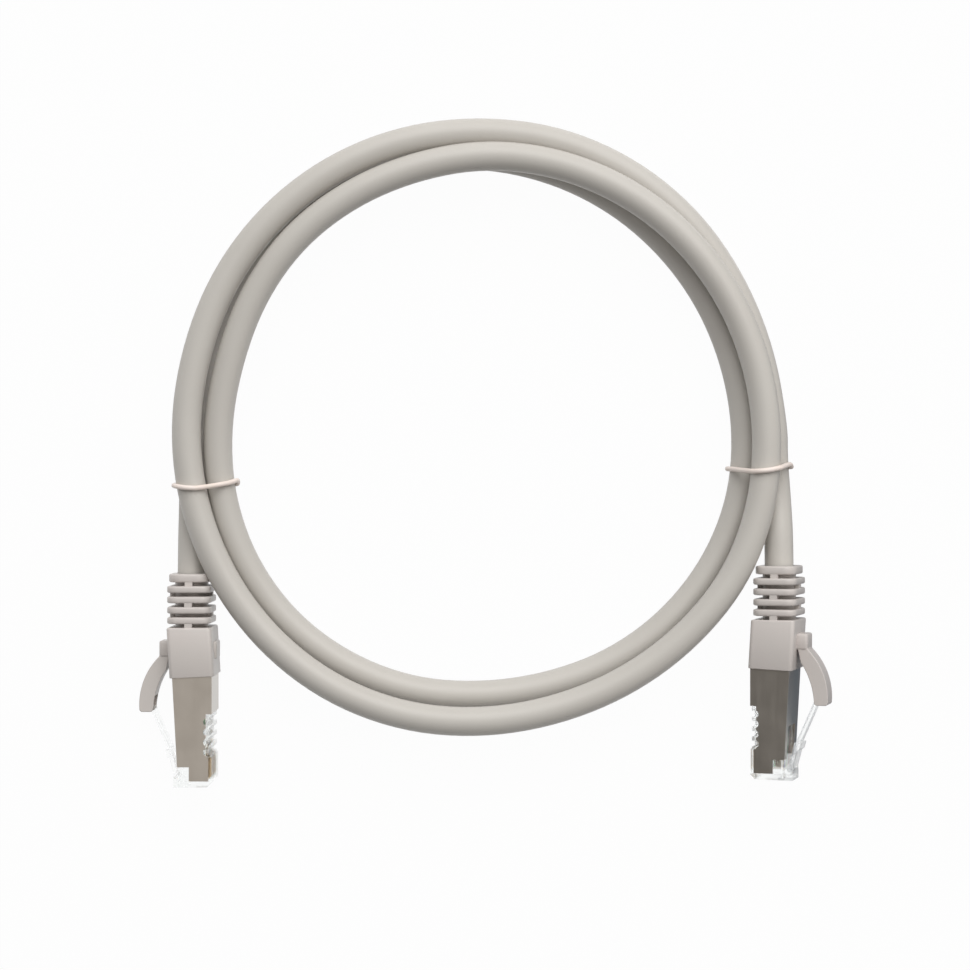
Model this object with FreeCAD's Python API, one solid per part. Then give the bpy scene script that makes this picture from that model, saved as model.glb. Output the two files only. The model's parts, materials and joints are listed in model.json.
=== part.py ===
import FreeCAD, Part
import math
import os

os.makedirs("parts", exist_ok=True)
Vector = FreeCAD.Vector

# Shielded network patch lead, coiled and tied, lying on a table. Millimetres and degrees.
# The coil lies in XY with +Z up. Both plugs point along -Y, on their sides, latches outwards.

# Cable
cord_diameter = 5.8
jacket_wall = 0.6
screen_gap = 0.05
screen_wall = 0.12
wire_diameter = 0.95
wire_circle_radius = 1.38
wire_count = 8
drain_diameter = 0.4
drain_gap = 0.07

# Coil: two and a half clockwise turns, counted from the left end. Lanes are radii of the centreline.
coil_turns = 2.5
stations_per_turn = 4
outer_lane = 58.8
drift_in = 5.64
drift_in_turns = (0.085, 0.345)
drift_out = 6.27
drift_out_turns = (1.09, 1.91)
end_flare = 0.25
end_flare_turns = (2.3, 2.5)
oval = (0.22, 0.14)
climb = 6.9
climb_turns = (0.71, 1.2)
dive = 5.9
dive_turns = (2.12, 2.46)
hump = 1.35
hump_turns = (1.17, 0.13)

# Ties: flat loops round the three strands
tie_thickness = 0.4
tie_width = 1.0
tie_gap = 0.25
tie_samples = 4000
left_tie_y = -11.5
right_tie_y = -8.1

# Tails: each runs flat, rises once and goes straight into its boot
tail_bend_start = 14.0
tail_bend_lead = 3.4
jacket_setback = 0.3
plug_a_nose_y = -71.8
plug_b_nose_y = -70.2
plug_b_roll = 19.0

# Routes: an arc's share of the shorter run beside it, and the step a tangent is measured over
corner_share = 0.45
tangent_step = 1e-4

# Plug, in its own frame: +X to the nose, +Z to the latch, origin on the cable's axis at the nose
plug_length = 22.6
plug_width = 11.68
contact_side = 4.7
nose_height = 6.7
rear_height = 7.95
nose_lip = 1.15
nose_chamfer = 0.9
sheet = 0.25
fit_gap = 0.05
clear_through = 1.0

# Shield openings
latch_opening_length = 10.5
latch_opening_width = 6.9
latch_opening_depth = 0.5
corner_notch_length = 2.8
corner_notch_height = 2.2
contact_edge_lift = 0.7
window_length = 8.6
window_edge_lift = 1.2
scallop_radius = 0.75
scallop_sink = 0.25
scallop_count = 4
barrel_length = 4.6
barrel_wall = 0.3
barrel_slit = 1.2
neck_width = 4.0
neck_length = 0.4
neck_strap = 0.8

# Contacts
contact_pitch = 1.02
contact_thickness = 0.35
contact_start = 1.5
contact_length = 4.2
contact_recess = 0.3
contact_body_height = 1.35
contact_nose_radius = 0.5
tine_width = 0.5
tine_inset = 0.8
slot_play = 0.12
contact_zone = 6.0

# Wire row and its guide
row_height = -1.9
row_stagger = 0.4
row_start = 1.9
guide_front = 8.8
guide_length = 2.8
guide_width = 9.2
guide_wall = 0.25
wire_play = 0.04
fan_run = 3.8
fan_lead = 2.0
inner_wire_angle = 22.5
outer_wire_angle = 67.5

# Housing cavity and the crimp grooves on its contact side
cavity_width = 9.8
cavity_top = 2.1
cavity_floor = -3.4
groove_width = 1.1
groove_pitch = 2.0
groove_depth = 0.6

# Latch
latch_hinge_x = -1.9
latch_hinge_z = 2.75
latch_barrel_radius = 0.55
hinge_gap = 0.06
root_width = 6.2
root_reach = 0.4
root_rise = 0.6
root_depth = 1.6
latch_wide_length = 5.2
latch_thickness = 0.85
latch_step_height = 4.1
latch_tip = (-15.6, 7.85)
shoulder_length = 1.5
shoulder_height = 0.4
tab_width = 3.2

# Boot
boot_overlap = 0.5
boot_front = plug_length - boot_overlap
boot_body_length = 9.7
boot_half_width = 6.25
boot_rear_top = 4.35
boot_rear_bottom = 4.6
boot_front_top = 3.75
boot_front_bottom = 5.15
boot_corner = 0.8
boot_slant = 0.4
bore_gap = 0.1
boot_edge = 0.5
pad_length = 3.5
pad_width = 6.0
pad_rise = 0.25
pad_sink = 1.5
pad_distance = 3.3
rib_count = 5
rib_thickness = 1.32
rib_gap = 0.75
rib_half_height = 4.4
rib_half_width = 6.1
rib_corner = 2.0
collar_thickness = 1.65
collar_half_height = 4.2
collar_half_width = 5.3
collar_corner = 2.6
core_wall = 0.35
web_width = 1.5
web_overlap = 0.05

# Lever on the boot that presses the latch
lever_hinge_x = -25.9
lever_hinge_z = 5.25
lever_barrel_radius = 1.0
lever_width = 5.0
lever_reach = 11.2
lever_tip_height = 10.2
lever_tip_thickness = 2.7
lever_tip_radius = 0.6
lever_outer_bow = 1.35
lever_inner_bow = 0.65
lever_heel = (2.6, 0.45)
hood_depth = 3.2
hood_gap = 0.3
mount_length = 3.1
mount_play = 0.2
mount_sink = 1.0


# Small helpers

def smooth(value, start, end):
    share = min(max((value - start) / (end - start), 0.0), 1.0)
    return share * share * (3.0 - 2.0 * share)


def box(x0, x1, y0, y1, z0, z1):
    return Part.makeBox(x1 - x0, y1 - y0, z1 - z0, Vector(x0, y0, z0))


def cylinder_y(x, z, radius, half_width):
    return Part.makeCylinder(radius, 2 * half_width, Vector(x, -half_width, z), Vector(0, 1, 0))


def cylinder_x(x0, x1, y, z, radius):
    return Part.makeCylinder(radius, x1 - x0, Vector(x0, y, z), Vector(1, 0, 0))


def prism(points, half_width):
    corners = [Vector(x, -half_width, z) for x, z in points]
    face = Part.Face(Part.makePolygon(corners + corners[:1]))
    return face.extrude(Vector(0, 2 * half_width, 0))


def arc_through(first, middle, last):
    return Part.Arc(first, middle, last).toShape()


def rounded_rectangle(x, half_y, low_z, high_z, radius):
    """A closed wire across the X axis: four corner arcs and the lines between them."""
    slack = radius * (1 - math.sqrt(0.5))
    corners = [(half_y, high_z, -1, -1), (-half_y, high_z, 1, -1), (-half_y, low_z, 1, 1), (half_y, low_z, -1, 1)]
    arcs = []
    for index, (y, z, inwards_y, inwards_z) in enumerate(corners):
        on_side = Vector(x, y, z + inwards_z * radius)
        on_top = Vector(x, y + inwards_y * radius, z)
        middle = Vector(x, y + inwards_y * slack, z + inwards_z * slack)
        arcs.append((on_side, middle, on_top) if index % 2 == 0 else (on_top, middle, on_side))
    edges = []
    for index, arc in enumerate(arcs):
        edges.append(arc_through(*arc))
        edges.append(Part.LineSegment(arc[2], arcs[(index + 1) % 4][0]).toShape())
    return Part.Wire(edges)


def block(x0, x1, half_y, low_z, high_z, radius):
    face = Part.Face(rounded_rectangle(x0, half_y, low_z, high_z, radius))
    return face.extrude(Vector(x1 - x0, 0, 0))


def ring(x0, x1, outer, inner):
    return cylinder_x(x0, x1, 0, 0, outer).cut(cylinder_x(x0, x1, 0, 0, inner))


# Routes: straight runs joined by tangent arcs, and turns made of biarcs

def rounded_route(points):
    """Edges along a polyline, each corner an arc as large as its share of the shorter run allows."""
    edges = []
    radii = []
    start = points[0]
    for before, corner, after in zip(points, points[1:], points[2:]):
        back = before - corner
        ahead = after - corner
        reach = corner_share * min(back.Length, ahead.Length)
        turn = math.pi - back.getAngle(ahead)
        back.normalize()
        ahead.normalize()
        first = corner + back * reach
        last = corner + ahead * reach
        radius = reach / math.tan(turn / 2)
        inwards = (back + ahead).normalize()
        middle = corner + inwards * (radius / math.cos(turn / 2) - radius)
        edges.append(Part.LineSegment(start, first).toShape())
        edges.append(arc_through(first, middle, last))
        radii.append(radius)
        start = last
    edges.append(Part.LineSegment(start, points[-1]).toShape())
    return edges, radii


def tangent_arc(start, corner, finish):
    """The arc from start to finish whose end tangents meet at the corner."""
    chord_middle = (start + finish) * 0.5
    height = (corner - chord_middle).Length
    half_chord = (finish - start).Length / 2
    half_turn = math.atan2(height, half_chord)
    rise = half_chord * math.tan(half_turn / 2)
    middle = chord_middle + (corner - chord_middle) * (rise / height)
    return arc_through(start, middle, finish)


def biarc(start, start_tangent, finish, finish_tangent):
    chord = finish - start
    total = start_tangent + finish_tangent
    spread = 2 * (1 - start_tangent.dot(finish_tangent))
    along = chord.dot(total)
    reach = (math.sqrt(along ** 2 + spread * chord.dot(chord)) - along) / spread
    first_corner = start + start_tangent * reach
    last_corner = finish - finish_tangent * reach
    joint = (first_corner + last_corner) * 0.5
    return [tangent_arc(start, first_corner, joint), tangent_arc(joint, last_corner, finish)]


# The coil's centreline: lanes, levels and the wires' places round it

low_level = cord_diameter / 2 + tie_gap + tie_thickness


def lane(turns):
    round_trip = 4 * math.pi * turns
    out_of_round = oval[0] * (1 - math.cos(round_trip)) - oval[1] * math.sin(round_trip)
    return (outer_lane - drift_in * smooth(turns, *drift_in_turns)
            + drift_out * smooth(turns, *drift_out_turns)
            + end_flare * smooth(turns, *end_flare_turns) + out_of_round)


def level(turns):
    crossing = hump * math.exp(-((turns - hump_turns[0]) / hump_turns[1]) ** 2)
    return (low_level + climb * smooth(turns, *climb_turns) - dive * smooth(turns, *dive_turns)
            + crossing)


core_twist = 180.0 + plug_b_roll


def core_angle(angle, turns):
    """Where a wire lies round the cable's axis, from outwards towards up."""
    return math.radians(angle + core_twist * smooth(turns, 0.0, coil_turns))


def coil_point(turns, radius=0.0, angle=0.0):
    heading = math.pi - 2 * math.pi * turns
    place = core_angle(angle, turns)
    out = lane(turns) + radius * math.cos(place)
    return Vector(out * math.cos(heading), out * math.sin(heading), level(turns) + radius * math.sin(place))


def coil_tangent(turns, radius, angle):
    before = coil_point(turns - tangent_step, radius, angle)
    after = coil_point(turns + tangent_step, radius, angle)
    return (after - before).normalize()


def coil_edges(radius=0.0, angle=0.0):
    count = round(coil_turns * stations_per_turn)
    stations = [index * coil_turns / count for index in range(count + 1)]
    points = [coil_point(turns, radius, angle) for turns in stations]
    tangents = [coil_tangent(turns, radius, angle) for turns in stations]
    tangents[0] = Vector(0, 1, 0)
    tangents[-1] = Vector(0, -1, 0)
    edges = []
    for index in range(count):
        edges += biarc(points[index], tangents[index], points[index + 1], tangents[index + 1])
    return edges


def tube(edges, radius):
    """A round solid along tangent edges."""
    path = Part.Wire(edges)
    first = edges[0]
    start = first.valueAt(first.FirstParameter)
    direction = first.tangentAt(first.FirstParameter)
    circle = Part.Circle(start, direction, radius)
    shell = Part.BRepOffsetAPI.MakePipeShell(path)
    shell.add(Part.Wire([circle.toShape()]))
    shell.build()
    shell.makeSolid()
    return shell.shape()


def sleeve(edges, outer_radius, inner_radius):
    return tube(edges, outer_radius).cut(tube(edges, inner_radius))


# Where the two plugs stand

cord_radius = cord_diameter / 2
axis_a_height = boot_half_width


def rolled_reach(roll):
    """How far the boot's lowest corner lies under the cable's axis when the plug is rolled."""
    angle = math.radians(roll)
    side = (boot_half_width - boot_corner) * math.cos(angle)
    edge = (boot_front_bottom - boot_corner) * math.sin(angle)
    return side + edge + boot_corner


class PlugPlace:
    """One plug's frame: latch gives its +Z and the nose points along -Y."""

    def __init__(self, x, nose_y, height, latch):
        self.origin = Vector(x, nose_y, height)
        self.forward = Vector(0, -1, 0)
        self.latch = latch
        self.side = latch.cross(self.forward)
        columns = (self.forward, self.side, self.latch, self.origin)
        rows = [[column[index] for column in columns] for index in range(3)]
        self.placement = FreeCAD.Placement(FreeCAD.Matrix(*rows[0], *rows[1], *rows[2], 0, 0, 0, 1))

    def point(self, x, y, z):
        return self.origin + self.forward * x + self.side * y + self.latch * z

    def put(self, shape):
        copy = shape.copy()
        copy.Placement = self.placement.multiply(copy.Placement)
        return copy


roll_angle = math.radians(plug_b_roll)
plug_a = PlugPlace(-lane(0.0), plug_a_nose_y, axis_a_height, Vector(-1, 0, 0))
plug_b = PlugPlace(lane(coil_turns), plug_b_nose_y, rolled_reach(plug_b_roll),
                   Vector(math.cos(roll_angle), 0, math.sin(roll_angle)))


def tail_corners(plug, end_level, out=0.0, up=0.0):
    """The two corners of a tail's rise, from the coil towards the plug."""
    x = plug.origin.x
    boot_rear_y = plug.point(rib_positions()[-1][0], 0, 0).y
    return [Vector(x + out, -tail_bend_start, end_level + up),
            Vector(x + out, boot_rear_y + tail_bend_lead, plug.origin.z + up)]


# Cable pieces

def straight_end(x, height):
    return Vector(x, 0, height), Vector(x, -cord_diameter, height)


def coil_with_ends(outer_radius, inner_radius):
    left_top, left_end = straight_end(-lane(0.0), level(0.0))
    right_top, right_end = straight_end(lane(coil_turns), level(coil_turns))
    edges = [Part.LineSegment(left_end, left_top).toShape()]
    edges += coil_edges()
    edges.append(Part.LineSegment(right_top, right_end).toShape())
    return sleeve(edges, outer_radius, inner_radius)


jacket_end = plug_length + jacket_setback


def tail_edges(plug, end_level):
    start = Vector(plug.origin.x, -cord_diameter, end_level)
    points = [start] + tail_corners(plug, end_level) + [plug.point(-jacket_end, 0, 0)]
    return rounded_route(points)


def cable_route_edges(radius, angle, points_a, points_b):
    """Edges of a core member: plug A's points, the coil, then plug B's points, all tangent."""
    place_a = core_angle(angle, 0.0)
    place_b = core_angle(angle, coil_turns)
    out_a, up_a = -radius * math.cos(place_a), radius * math.sin(place_a)
    out_b, up_b = radius * math.cos(place_b), radius * math.sin(place_b)
    start = coil_point(0.0, radius, angle)
    finish = coil_point(coil_turns, radius, angle)
    straight = Vector(0, -cord_diameter, 0)
    corners_a = tail_corners(plug_a, level(0.0), out_a, up_a)
    corners_b = tail_corners(plug_b, level(coil_turns), out_b, up_b)
    edges_a = rounded_route(points_a + corners_a[::-1] + [start + straight])[0]
    edges_b = rounded_route([finish + straight] + corners_b + points_b)[0]
    lead_a = Part.LineSegment(start + straight, start).toShape()
    lead_b = Part.LineSegment(finish, finish + straight).toShape()
    return edges_a + [lead_a] + coil_edges(radius, angle) + [lead_b] + edges_b


def wire_angle(number):
    """Places round the axis, so that pairs of wires share a place across the row."""
    inner, outer = inner_wire_angle, outer_wire_angle
    angles = [180 + outer, -outer, 180 + inner, -inner, inner, 180 - inner, outer, 180 - outer]
    return angles[number - 1]


def row_place(number):
    """A wire's or contact's place across the plug, and the wire's height there."""
    across = (number - (wire_count + 1) / 2) * contact_pitch
    height = row_height + row_stagger * (1 if number % 2 == 0 else -1)
    return across, height


guide_rear = guide_front + guide_length


def wire_points(plug, number, flip):
    """From a wire's front end in its contact slot back to the cable, in the row frame."""
    across, height = row_place(number)
    angle = math.radians(wire_angle(number))
    circle_y = wire_circle_radius * math.sin(angle)
    circle_z = flip * wire_circle_radius * math.cos(angle)
    bend = guide_rear + fan_lead
    return [plug.point(-row_start, across, height),
            plug.point(-bend, across, height),
            plug.point(-bend - fan_run, across, circle_z),
            plug.point(-bend - 2 * fan_run, circle_y, circle_z)]


def make_wire(number):
    points_a = wire_points(plug_a, number, 1)
    points_b = wire_points(plug_b, number, -1)[::-1]
    edges = cable_route_edges(wire_circle_radius, wire_angle(number), points_a, points_b)
    return tube(edges, wire_diameter / 2)


screen_radius = cord_radius - jacket_wall - screen_gap
drain_radius = screen_radius - screen_wall - drain_gap - drain_diameter / 2


def make_drain_wire():
    place_a = core_angle(0.0, 0.0)
    place_b = core_angle(0.0, coil_turns)
    end_a = plug_a.point(-jacket_end, 0, 0)
    end_b = plug_b.point(-jacket_end, 0, 0)
    end_a += Vector(-drain_radius * math.cos(place_a), 0, drain_radius * math.sin(place_a))
    end_b += Vector(drain_radius * math.cos(place_b), 0, drain_radius * math.sin(place_b))
    edges = cable_route_edges(drain_radius, 0.0, [end_a], [end_b])
    return tube(edges, drain_diameter / 2)


def make_screen():
    ends_a = [plug_a.point(-jacket_end, 0, 0)]
    ends_b = [plug_b.point(-jacket_end, 0, 0)]
    edges = cable_route_edges(0.0, 0.0, ends_a, ends_b)
    return sleeve(edges, screen_radius, screen_radius - screen_wall)


# Ties

def strand_places(y, side):
    """Centres, in X and Z, of the strands that cross a tie's plane on one side of the coil."""
    places = []
    previous = coil_point(0.0)
    for index in range(1, tie_samples + 1):
        point = coil_point(coil_turns * index / tie_samples)
        if (previous.y - y) * (point.y - y) <= 0 and point.x * side > 0:
            places.append((point.x, point.z))
        previous = point
    plug = plug_a if side < 0 else plug_b
    end_level = level(0.0) if side < 0 else level(coil_turns)
    places.append((plug.origin.x, end_level))
    return places


def make_tie(y, side):
    """A flat loop drawn round three strands: tangent lines and an arc round each."""
    centres = strand_places(y, side)
    middle_x = sum(x for x, z in centres) / len(centres)
    middle_z = sum(z for x, z in centres) / len(centres)
    centres.sort(key=lambda c: math.atan2(c[1] - middle_z, c[0] - middle_x))

    def loop(radius):
        normals = []
        for index, (x, z) in enumerate(centres):
            next_x, next_z = centres[(index + 1) % len(centres)]
            length = math.hypot(next_x - x, next_z - z)
            normals.append(((next_z - z) / length, -(next_x - x) / length))
        edges = []
        for index, (x, z) in enumerate(centres):
            before = normals[index - 1]
            after = normals[index]
            between = (before[0] + after[0], before[1] + after[1])
            size = math.hypot(*between)
            points = [Vector(x + radius * nx, y, z + radius * nz)
                      for nx, nz in (before, (between[0] / size, between[1] / size), after)]
            edges.append(arc_through(*points))
            next_x, next_z = centres[(index + 1) % len(centres)]
            finish = Vector(next_x + radius * after[0], y, next_z + radius * after[1])
            edges.append(Part.LineSegment(points[2], finish).toShape())
        face = Part.Face(Part.Wire(edges))
        solid = face.extrude(Vector(0, tie_width, 0))
        solid.translate(Vector(0, -tie_width / 2, 0))
        return solid

    inner = cord_radius + tie_gap
    return loop(inner + tie_thickness).cut(loop(inner))


# Plug pieces, in the plug's own frame

skin = sheet + fit_gap
half_plug = plug_width / 2
barrel_inner = cord_radius + fit_gap
barrel_front = -plug_length - neck_length
barrel_rear = barrel_front - barrel_length
top_slope = (rear_height - nose_height) / plug_length


def top_height(x):
    return nose_height - contact_side - x * top_slope


def wedge(front, rear, inset):
    """The plug's tapering body between two X places, drawn in by an inset on all four sides."""
    points = [(front, -contact_side + inset), (rear, -contact_side + inset),
              (rear, top_height(rear) - inset), (front, top_height(front) - inset)]
    return prism(points, half_plug - inset)


def make_housing():
    body = wedge(-nose_lip, -plug_length, skin)
    lip = wedge(0, -nose_lip, 0)
    corner = [(-nose_chamfer, -contact_side), (-nose_chamfer, -contact_side - nose_chamfer),
              (nose_chamfer, -contact_side - nose_chamfer), (nose_chamfer, -contact_side + 2 * nose_chamfer)]
    chamfer = prism(corner, half_plug + clear_through)
    lip = lip.cut(chamfer)
    contact_block = box(-contact_zone, 0, -half_plug + skin, half_plug - skin,
                        -contact_side + fit_gap, -contact_side + 2 * skin)
    contact_block = contact_block.cut(chamfer)
    root_top = top_height(0) + root_rise
    root = box(latch_hinge_x, root_reach, -root_width / 2, root_width / 2,
               root_top - root_rise - root_depth, latch_hinge_z + latch_barrel_radius)
    solid = body.fuse([lip, contact_block, root])
    cuts = [cylinder_y(latch_hinge_x, latch_hinge_z, latch_barrel_radius + hinge_gap, root_width)]
    cuts.append(box(latch_hinge_x - clear_through, latch_hinge_x, -root_width, root_width,
                    top_height(latch_hinge_x) - skin, latch_hinge_z + root_depth))
    rear_cavity = guide_rear + fit_gap
    cuts.append(box(-plug_length - clear_through, -rear_cavity, -cavity_width / 2, cavity_width / 2,
                    cavity_floor, cavity_top))
    half_guide = guide_width / 2 + fit_gap
    low, high = guide_levels()
    cuts.append(box(-rear_cavity - fit_gap, -guide_front + fit_gap, -half_guide, half_guide,
                    low - fit_gap, high + fit_gap))
    for number in range(1, wire_count + 1):
        across, height = row_place(number)
        cuts.append(cylinder_x(-guide_front - fit_gap, -row_start + 2 * wire_play, across, height,
                               wire_diameter / 2 + wire_play))
        half_slot = contact_thickness / 2 + slot_play / 2
        cuts.append(box(-contact_start - contact_length - slot_play, -contact_start + slot_play,
                        across - half_slot, across + half_slot, -contact_side - clear_through, height))
    groove_start = contact_zone + groove_pitch / 2
    for index in range(scallop_count):
        middle = -groove_start - index * groove_pitch
        cuts.append(box(middle - groove_width / 2, middle + groove_width / 2, -half_plug, half_plug,
                        -contact_side - clear_through, -contact_side + skin + groove_depth))
    return solid.cut(cuts)


def guide_levels():
    reach = row_stagger + wire_diameter / 2 + wire_play + guide_wall
    return row_height - reach, row_height + reach


def make_wire_guide():
    low, high = guide_levels()
    bar = box(-guide_rear, -guide_front, -guide_width / 2, guide_width / 2, low, high)
    holes = []
    for number in range(1, wire_count + 1):
        across, height = row_place(number)
        holes.append(cylinder_x(-guide_rear - clear_through, -guide_front + clear_through, across, height,
                                wire_diameter / 2 + wire_play))
    return bar.cut(holes)


def make_contact(number):
    across, height = row_place(number)
    low = -contact_side + contact_recess
    high = low + contact_body_height
    front = -contact_start
    rear = -contact_start - contact_length
    points = [(rear, low), (front - contact_nose_radius, low), (front, low + contact_nose_radius), (front, high)]
    for middle in (front - tine_inset, rear + tine_inset):
        points += [(middle + tine_width / 2, high), (middle + tine_width / 2, height - tine_width / 2),
                   (middle, height), (middle - tine_width / 2, height - tine_width / 2),
                   (middle - tine_width / 2, high)]
    points.append((rear, high))
    blade = prism(points, contact_thickness / 2)
    blade.translate(Vector(0, across, 0))
    return blade


def make_shield():
    front = -nose_lip - fit_gap
    outer = wedge(front, -plug_length, 0)
    inner = wedge(front + clear_through, -plug_length - clear_through, sheet)
    solid = outer.cut(inner)
    far = half_plug + clear_through
    edge = -contact_side
    contact_end = -contact_zone - window_length
    cuts = [box(contact_end, clear_through, -far, far, edge - clear_through, edge + contact_edge_lift),
            box(contact_end, -contact_zone, -far, far, edge - clear_through, edge + window_edge_lift)]
    for index in range(scallop_count):
        middle = -contact_zone - groove_pitch / 2 - index * groove_pitch
        cuts.append(cylinder_y(middle, edge + window_edge_lift - scallop_sink, scallop_radius, far))
    cuts.append(box(-latch_opening_length, clear_through, -latch_opening_width / 2, latch_opening_width / 2,
                    top_height(0) - latch_opening_depth, top_height(-plug_length) + clear_through))
    notch_rear = front - corner_notch_length
    cuts.append(box(notch_rear, clear_through, -far, far, top_height(front) - corner_notch_height, far))
    solid = solid.cut(cuts)
    barrel_outer = barrel_inner + barrel_wall
    barrel = ring(barrel_rear, barrel_front, barrel_outer, barrel_inner)
    slit = box(barrel_rear - clear_through, barrel_front + clear_through, -barrel_slit / 2, barrel_slit / 2,
               0, barrel_outer + clear_through)
    neck = box(barrel_front, -plug_length, -neck_width / 2, neck_width / 2, -contact_side, -barrel_inner)
    strap = box(barrel_front - neck_strap, barrel_front, -neck_width / 2, neck_width / 2, -contact_side, 0)
    strap = strap.cut(cylinder_x(barrel_rear, 0, 0, 0, barrel_inner))
    return solid.fuse([neck, strap, barrel.cut(slit)])


def offset_line(first, last, distance):
    """Two points moved square to the line through them."""
    length = math.hypot(last[0] - first[0], last[1] - first[1])
    nx = -(last[1] - first[1]) / length * distance
    nz = (last[0] - first[0]) / length * distance
    return (first[0] + nx, first[1] + nz), (last[0] + nx, last[1] + nz)


def make_latch():
    half = latch_thickness / 2
    hinge = (latch_hinge_x, latch_hinge_z)
    wide_rear = (latch_hinge_x - latch_wide_length, latch_step_height)
    top_a = offset_line(hinge, wide_rear, -half)
    low_a = offset_line(hinge, wide_rear, half)
    wide = prism([top_a[0], top_a[1], low_a[1], low_a[0]], root_width / 2)
    barrel = cylinder_y(latch_hinge_x, latch_hinge_z, latch_barrel_radius, root_width / 2)
    top_b = offset_line(wide_rear, latch_tip, -half)
    low_b = offset_line(wide_rear, latch_tip, half)
    tab = prism([top_a[1], top_b[1], low_b[1], low_b[0], low_a[1]], tab_width / 2)
    shoulder_front = wide_rear[0] + shoulder_length
    shoulder = prism([(shoulder_front, wide_rear[1]), (wide_rear[0], wide_rear[1]),
                      (wide_rear[0], wide_rear[1] + half + shoulder_height),
                      (shoulder_front, wide_rear[1] + half)], root_width / 2)
    return wide.fuse([barrel, tab, shoulder])


def make_lever():
    """A curved tongue on a round root, with a hood under its tip that the latch's end lies in."""
    tip_x = lever_hinge_x + lever_reach
    tip_low = lever_tip_height - lever_tip_thickness
    root_top = (lever_hinge_x, lever_hinge_z + lever_barrel_radius)
    root_low = (lever_hinge_x, lever_hinge_z - lever_barrel_radius)
    heel = (lever_hinge_x + lever_heel[0], lever_hinge_z - lever_heel[1])

    def bowed(first, last, bow):
        middle = ((first[0] + last[0]) / 2, (first[1] + last[1]) / 2)
        length = math.hypot(last[0] - first[0], last[1] - first[1])
        nx = -(last[1] - first[1]) / length
        nz = (last[0] - first[0]) / length
        return middle[0] + nx * bow, middle[1] + nz * bow

    def place(point):
        return Vector(point[0], -lever_width / 2, point[1])

    tip_top = (tip_x, lever_tip_height)
    tip_bottom = (tip_x, tip_low)
    edges = [arc_through(place(root_top), place(bowed(root_top, tip_top, lever_outer_bow)), place(tip_top)),
             Part.LineSegment(place(tip_top), place(tip_bottom)).toShape(),
             arc_through(place(tip_bottom), place(bowed(heel, tip_bottom, lever_inner_bow)), place(heel)),
             Part.LineSegment(place(heel), place(root_low)).toShape(),
             Part.LineSegment(place(root_low), place(root_top)).toShape()]
    tongue = Part.Face(Part.Wire(edges)).extrude(Vector(0, lever_width, 0))
    barrel = cylinder_y(lever_hinge_x, lever_hinge_z, lever_barrel_radius, lever_width / 2)
    solid = tongue.fuse(barrel).removeSplitter()
    tip_edges = [edge for edge in solid.Edges
                 if edge.BoundBox.XMin > lever_hinge_x + lever_reach / 2 and edge.BoundBox.YLength > lever_width / 2]
    solid = solid.makeFillet(lever_tip_radius, tip_edges)
    roof = latch_tip[1] + latch_thickness / 2 + hood_gap
    half_hood = tab_width / 2 + hood_gap
    return solid.cut(box(tip_x - hood_depth, tip_x + clear_through, -half_hood, half_hood,
                         tip_low - clear_through, roof))


def rib_positions():
    """Each rib's rear X place and thickness, from the collar at the rear to the body."""
    ribs = []
    x = -boot_front - boot_body_length
    for index in range(rib_count - 1):
        x -= rib_gap + rib_thickness
        ribs.append((x, rib_thickness))
    x -= rib_gap + collar_thickness
    ribs.append((x, collar_thickness))
    return ribs


def make_boot_body():
    """The boot's block: flat sides, tapered along the plug, its four long edges rounded."""
    body_rear = -boot_front - boot_body_length
    outline = [(body_rear, -boot_rear_bottom), (-boot_front, -boot_front_bottom),
               (-boot_front + boot_slant, boot_front_top), (body_rear, boot_rear_top)]
    body = prism(outline, boot_half_width)
    long_edges = [edge for edge in body.Edges if edge.BoundBox.XLength > boot_body_length / 2]
    return body.makeFillet(boot_corner, long_edges)


def make_boot():
    ribs = rib_positions()
    collar_x = ribs[-1][0]
    core = cord_radius + bore_gap + core_wall
    mount = block(lever_hinge_x - mount_length, lever_hinge_x, lever_width / 2 + mount_play,
                  boot_front_top - mount_sink, lever_hinge_z + lever_barrel_radius, boot_edge)
    mount = mount.cut(cylinder_y(lever_hinge_x, lever_hinge_z, lever_barrel_radius + hinge_gap, lever_width))
    pad_front = -boot_front - pad_distance
    pad = block(pad_front - pad_length, pad_front, pad_width / 2, -boot_front_bottom - pad_rise,
                -boot_front_bottom + pad_sink, boot_edge)
    pieces = [mount, pad, cylinder_x(collar_x, -boot_front - boot_body_length, 0, 0, core)]
    for x, thickness in ribs[:-1]:
        pieces.append(block(x, x + thickness, rib_half_width, -rib_half_height, rib_half_height, rib_corner))
    pieces.append(block(collar_x, collar_x + collar_thickness, collar_half_width, -collar_half_height,
                        collar_half_height, collar_corner))
    gap_front = -boot_front - boot_body_length
    for index, (x, thickness) in enumerate(ribs):
        start, end = x + thickness - web_overlap, gap_front + web_overlap
        last = index == rib_count - 1
        half_y = collar_half_width if last else rib_half_width
        half_z = collar_half_height if last else rib_half_height
        if index % 2 == 0:
            pieces.append(box(start, end, -half_y, half_y, -web_width / 2, web_width / 2))
        else:
            pieces.append(box(start, end, -web_width / 2, web_width / 2, -half_z, half_z))
        gap_front = x
    solid = make_boot_body().fuse(pieces)
    barrel_room = barrel_inner + barrel_wall + bore_gap
    seat = -plug_length - bore_gap
    cuts = [cylinder_x(collar_x - clear_through, 0, 0, 0, cord_radius + bore_gap),
            cylinder_x(barrel_rear - bore_gap, 0, 0, 0, barrel_room),
            wedge(0, seat, -bore_gap),
            box(barrel_front - neck_strap - bore_gap, 0, -neck_width / 2 - bore_gap, neck_width / 2 + bore_gap,
                -contact_side - bore_gap, 0)]
    return solid.cut(cuts).removeSplitter()


# Assembly

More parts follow.
